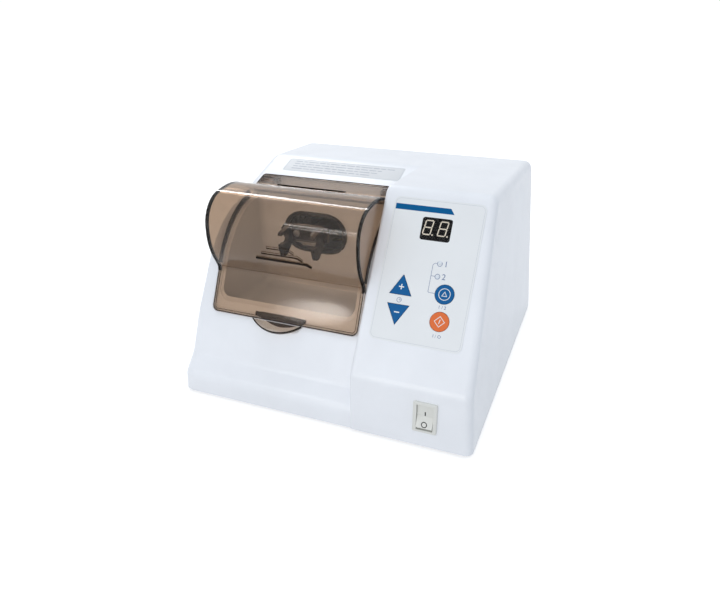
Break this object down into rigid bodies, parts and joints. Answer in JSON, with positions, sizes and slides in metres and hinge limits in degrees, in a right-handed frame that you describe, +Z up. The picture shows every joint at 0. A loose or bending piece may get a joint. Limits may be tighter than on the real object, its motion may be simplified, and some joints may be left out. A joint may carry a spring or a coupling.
{
  "type": "dental amalgamator",
  "caption": "Bench-top capsule mixer with a drafted two-level housing, domed smoked lid, fork-ended mixing arm and a sloped control panel.",
  "frame": {"origin": "on the standing surface, at the middle of the footprint", "axes": "+X to the right seen from the front, +Y to the back, +Z up; the control panel faces -Y and up"},
  "size_m": [0.266, 0.2738, 0.1799],
  "materials": {
    "housing_plastic": "satin moulded plastic",
    "chamber_plastic": "satin moulded plastic",
    "smoked_acrylic": "polished clear smoked acrylic",
    "black_rubber": "matte",
    "steel_sheet": "zinc plated",
    "steel_bright": "ground",
    "screw_steel": "zinc plated",
    "spring_steel": "dark blued",
    "magnet": "sintered ferrite",
    "alloy": "die cast",
    "overlay_film": "fine texture film",
    "dark_lens": "polished dark filter",
    "black_plastic": "fine moulded",
    "led_clear": "clear",
    "blue_key": "satin",
    "orange_key": "satin",
    "switch_grey": "fine moulded",
    "circuit_board": "solder mask",
    "brass_pin": "bright",
    "copper_coil": "taped winding",
    "core_iron": "laminated",
    "mount_rubber": "matte"
  },
  "bodies": {
    "case": {"arm_port_trim": "black_rubber", "arm_spring": "spring_steel", "base_plate": "steel_sheet", "board_parts": "black_plastic", "board_screws": "screw_steel", "control_board": "circuit_board", "display_lens": "dark_lens", "display_module": "black_plastic", "drive_chassis": "steel_sheet", "foot_screws": "screw_steel", "housing_screws": "screw_steel", "inlet_body": "black_plastic", "inlet_pins": "brass_pin", "inlet_screws": "screw_steel", "interlock_switch": "black_plastic", "left_bearing": "steel_bright", "mixing_chamber": "chamber_plastic", "mode_leds": "led_clear", "motor_can": "steel_sheet", "motor_magnets": "magnet", "motor_screws": "screw_steel", "mount_screws": "screw_steel", "panel_overlay": "overlay_film", "power_board": "circuit_board", "power_board_parts": "black_plastic", "power_board_screws": "screw_steel", "power_board_spacers": "brass_pin", "rubber_feet": "black_rubber", "spring_cup": "alloy", "switch_frame": "switch_grey", "switch_terminals": "brass_pin", "tact_switches": "black_plastic", "top_housing": "housing_plastic", "transformer_coil": "copper_coil", "transformer_core": "core_iron", "transformer_screws": "screw_steel", "vibration_mounts": "mount_rubber"},
    "lid_assembly": {"lid": "smoked_acrylic", "lid_pins": "steel_bright"},
    "interlock_pin": {"interlock_plunger": "black_plastic"},
    "rotor": {"rotor_shaft": "steel_bright", "armature": "core_iron", "motor_fan": "black_plastic", "skew_hub": "alloy", "hub_bearing": "steel_bright"},
    "arm": {"mixing_arm": "alloy", "capsule_clip": "spring_steel", "clip_screws": "screw_steel"},
    "up_key": {"key_up": "blue_key"},
    "down_key": {"key_down": "blue_key"},
    "select_key": {"key_select": "blue_key"},
    "start_key": {"key_start": "orange_key"},
    "rocker": {"power_rocker": "switch_grey"},
    "fuse_tray": {"fuse_drawer": "black_plastic", "fuses": "led_clear"}
  },
  "joints": [
    {"name": "lid_hinge", "type": "hinge", "parent": "case", "child": "lid_assembly", "pos_m": [0, -0.00003, 0.1567], "axis": [-1, 0, 0], "range_deg": [0, 100]},
    {"name": "interlock_slide", "type": "slide", "parent": "case", "child": "interlock_pin", "axis": [0, -0.8796, 0.4756], "range_m": [0, 0.001]},
    {"name": "rotor_spin", "type": "hinge", "parent": "case", "child": "rotor", "pos_m": [0, 0.025, 0.1225], "axis": [1, 0, 0], "continuous": true},
    {"name": "arm_swing", "type": "hinge", "parent": "case", "child": "arm", "pos_m": [-0.043, 0.025, 0.1225], "axis": [0, 0, 1], "range_deg": [-7, 7], "stiffness_Nm_per_rad": 1.5},
    {"name": "key_up_press", "type": "slide", "parent": "case", "child": "up_key", "axis": [0, 0.8211, -0.5708], "range_m": [0, 0.0005], "stiffness_N_per_m": 800},
    {"name": "key_down_press", "type": "slide", "parent": "case", "child": "down_key", "axis": [0, 0.8211, -0.5708], "range_m": [0, 0.0005], "stiffness_N_per_m": 800},
    {"name": "key_select_press", "type": "slide", "parent": "case", "child": "select_key", "axis": [0, 0.8211, -0.5708], "range_m": [0, 0.0005], "stiffness_N_per_m": 800},
    {"name": "key_start_press", "type": "slide", "parent": "case", "child": "start_key", "axis": [0, 0.8211, -0.5708], "range_m": [0, 0.0005], "stiffness_N_per_m": 800},
    {"name": "power_rocker_tilt", "type": "hinge", "parent": "case", "child": "rocker", "pos_m": [0.0946, -0.13019, 0.02964], "axis": [1, 0, 0], "range_deg": [0, 18]},
    {"name": "fuse_drawer_slide", "type": "slide", "parent": "case", "child": "fuse_tray", "axis": [0, 0.9978, 0.0663], "range_m": [0, 0.016]}
  ],
  "couplings": [
    {"joint": "interlock_slide", "follows": "lid_hinge", "m_per_rad": 0.0005157}
  ]
}
